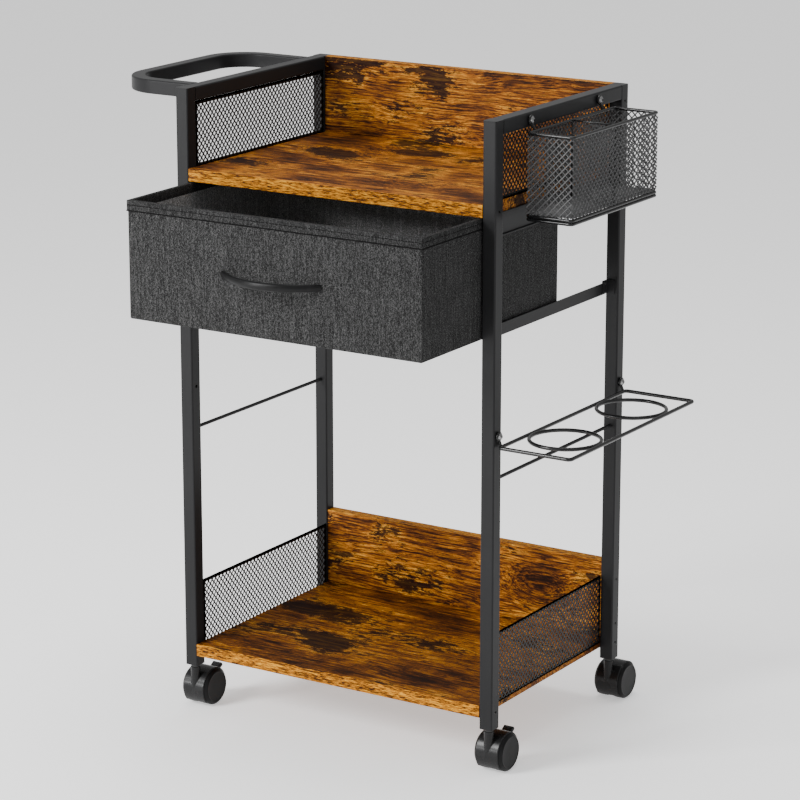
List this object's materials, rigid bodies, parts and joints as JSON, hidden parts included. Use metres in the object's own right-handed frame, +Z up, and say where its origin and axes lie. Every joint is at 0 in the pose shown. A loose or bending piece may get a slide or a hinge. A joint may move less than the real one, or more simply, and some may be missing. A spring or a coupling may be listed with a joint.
{
  "type": "mobile printer stand",
  "caption": "Tall two-shelf stand on swivel casters, with a fabric drawer, mesh side panels, a push handle, a hanging wire basket and a wire cup holder.",
  "frame": {"origin": "on the floor, under the middle of the whole object's bounding box at rest", "axes": "+Z up, +Y from the drawer's front towards the back boards, +X towards the basket and cup holder"},
  "size_m": [0.6838, 0.5236, 0.812],
  "materials": {
    "black_frame": "satin black powder coat",
    "black_mesh": "satin black powder coat on expanded sheet",
    "black_wire": "satin black powder coat on wire",
    "rustic_board": "rustic brown laminate",
    "dark_fabric": "dark grey melange linen",
    "black_pull": "satin",
    "dark_screw": "blackened",
    "steel": "plain zinc plated",
    "black_plastic": "satin moulded",
    "wheel_plastic": "moulded"
  },
  "bodies": {
    "frame": {"accessory_bolts": "dark_screw", "basket_base_rims": "black_wire", "basket_divider": "black_wire", "basket_hooks": "black_wire", "basket_mesh": "black_wire", "basket_top_rim": "black_wire", "board_screws": "dark_screw", "brace_rods": "black_frame", "caster_stems": "dark_screw", "cup_holder_frame": "black_wire", "cup_holder_loops": "black_wire", "front_cup_ring": "black_wire", "front_left_post": "black_frame", "front_right_post": "black_frame", "left_drawer_runner": "black_frame", "left_top_rail": "black_frame", "left_upper_guide": "black_frame", "lower_back_board": "rustic_board", "lower_left_mesh_panel": "black_mesh", "lower_right_mesh_panel": "black_mesh", "lower_shelf": "rustic_board", "push_handle": "black_frame", "rear_cup_ring": "black_wire", "rear_left_post": "black_frame", "rear_right_post": "black_frame", "right_drawer_runner": "black_frame", "right_top_rail": "black_frame", "right_upper_guide": "black_frame", "runner_brackets": "black_frame", "stem_sockets": "black_plastic", "upper_back_board": "rustic_board", "upper_left_mesh_panel": "black_mesh", "upper_right_mesh_panel": "black_mesh", "upper_shelf": "rustic_board"},
    "drawer": {"drawer_back_panel": "dark_fabric", "drawer_bottom_panel": "dark_fabric", "drawer_front_panel": "dark_fabric", "drawer_left_panel": "dark_fabric", "drawer_pull": "black_pull", "drawer_right_panel": "dark_fabric", "pull_screws": "dark_screw"},
    "front_left_caster": {"front_left_caster_hood": "black_plastic", "front_left_caster_axle": "steel"},
    "front_left_inner_wheel": {"front_left_inner_wheel": "wheel_plastic"},
    "front_left_outer_wheel": {"front_left_outer_wheel": "wheel_plastic"},
    "front_left_brake": {"front_left_brake_lever": "black_plastic"},
    "front_right_caster": {"front_right_caster_hood": "black_plastic", "front_right_caster_axle": "steel"},
    "front_right_inner_wheel": {"front_right_inner_wheel": "wheel_plastic"},
    "front_right_outer_wheel": {"front_right_outer_wheel": "wheel_plastic"},
    "front_right_brake": {"front_right_brake_lever": "black_plastic"},
    "rear_left_caster": {"rear_left_caster_hood": "black_plastic", "rear_left_caster_axle": "steel"},
    "rear_left_inner_wheel": {"rear_left_inner_wheel": "wheel_plastic"},
    "rear_left_outer_wheel": {"rear_left_outer_wheel": "wheel_plastic"},
    "rear_right_caster": {"rear_right_caster_hood": "black_plastic", "rear_right_caster_axle": "steel"},
    "rear_right_inner_wheel": {"rear_right_inner_wheel": "wheel_plastic"},
    "rear_right_outer_wheel": {"rear_right_outer_wheel": "wheel_plastic"}
  },
  "joints": [
    {"name": "drawer_slide", "type": "slide", "parent": "frame", "child": "drawer", "axis": [0, -1, 0], "range_m": [-0.13, 0.06]},
    {"name": "front_left_swivel", "type": "hinge", "parent": "frame", "child": "front_left_caster", "pos_m": [-0.21375, -0.0893, 0.055], "axis": [0, 0, 1], "continuous": true},
    {"name": "front_left_inner_wheel_spin", "type": "hinge", "parent": "front_left_caster", "child": "front_left_inner_wheel", "pos_m": [-0.21375, -0.0699, 0.024], "axis": [1, 0, 0], "continuous": true},
    {"name": "front_left_outer_wheel_spin", "type": "hinge", "parent": "front_left_caster", "child": "front_left_outer_wheel", "pos_m": [-0.21375, -0.0699, 0.024], "axis": [1, 0, 0], "continuous": true},
    {"name": "front_left_brake_press", "type": "hinge", "parent": "front_left_caster", "child": "front_left_brake", "pos_m": [-0.21375, -0.0559, 0.036], "axis": [1, 0, 0], "range_deg": [-12, 0]},
    {"name": "front_right_swivel", "type": "hinge", "parent": "frame", "child": "front_right_caster", "pos_m": [0.22825, -0.0893, 0.055], "axis": [0, 0, 1], "continuous": true},
    {"name": "front_right_inner_wheel_spin", "type": "hinge", "parent": "front_right_caster", "child": "front_right_inner_wheel", "pos_m": [0.22825, -0.0699, 0.024], "axis": [1, 0, 0], "continuous": true},
    {"name": "front_right_outer_wheel_spin", "type": "hinge", "parent": "front_right_caster", "child": "front_right_outer_wheel", "pos_m": [0.22825, -0.0699, 0.024], "axis": [1, 0, 0], "continuous": true},
    {"name": "front_right_brake_press", "type": "hinge", "parent": "front_right_caster", "child": "front_right_brake", "pos_m": [0.22825, -0.0559, 0.036], "axis": [1, 0, 0], "range_deg": [-12, 0]},
    {"name": "rear_left_swivel", "type": "hinge", "parent": "frame", "child": "rear_left_caster", "pos_m": [-0.21375, 0.2167, 0.055], "axis": [0, 0, 1], "continuous": true},
    {"name": "rear_left_inner_wheel_spin", "type": "hinge", "parent": "rear_left_caster", "child": "rear_left_inner_wheel", "pos_m": [-0.21375, 0.2361, 0.024], "axis": [1, 0, 0], "continuous": true},
    {"name": "rear_left_outer_wheel_spin", "type": "hinge", "parent": "rear_left_caster", "child": "rear_left_outer_wheel", "pos_m": [-0.21375, 0.2361, 0.024], "axis": [1, 0, 0], "continuous": true},
    {"name": "rear_right_swivel", "type": "hinge", "parent": "frame", "child": "rear_right_caster", "pos_m": [0.22825, 0.2167, 0.055], "axis": [0, 0, 1], "continuous": true},
    {"name": "rear_right_inner_wheel_spin", "type": "hinge", "parent": "rear_right_caster", "child": "rear_right_inner_wheel", "pos_m": [0.22825, 0.2361, 0.024], "axis": [1, 0, 0], "continuous": true},
    {"name": "rear_right_outer_wheel_spin", "type": "hinge", "parent": "rear_right_caster", "child": "rear_right_outer_wheel", "pos_m": [0.22825, 0.2361, 0.024], "axis": [1, 0, 0], "continuous": true}
  ]
}
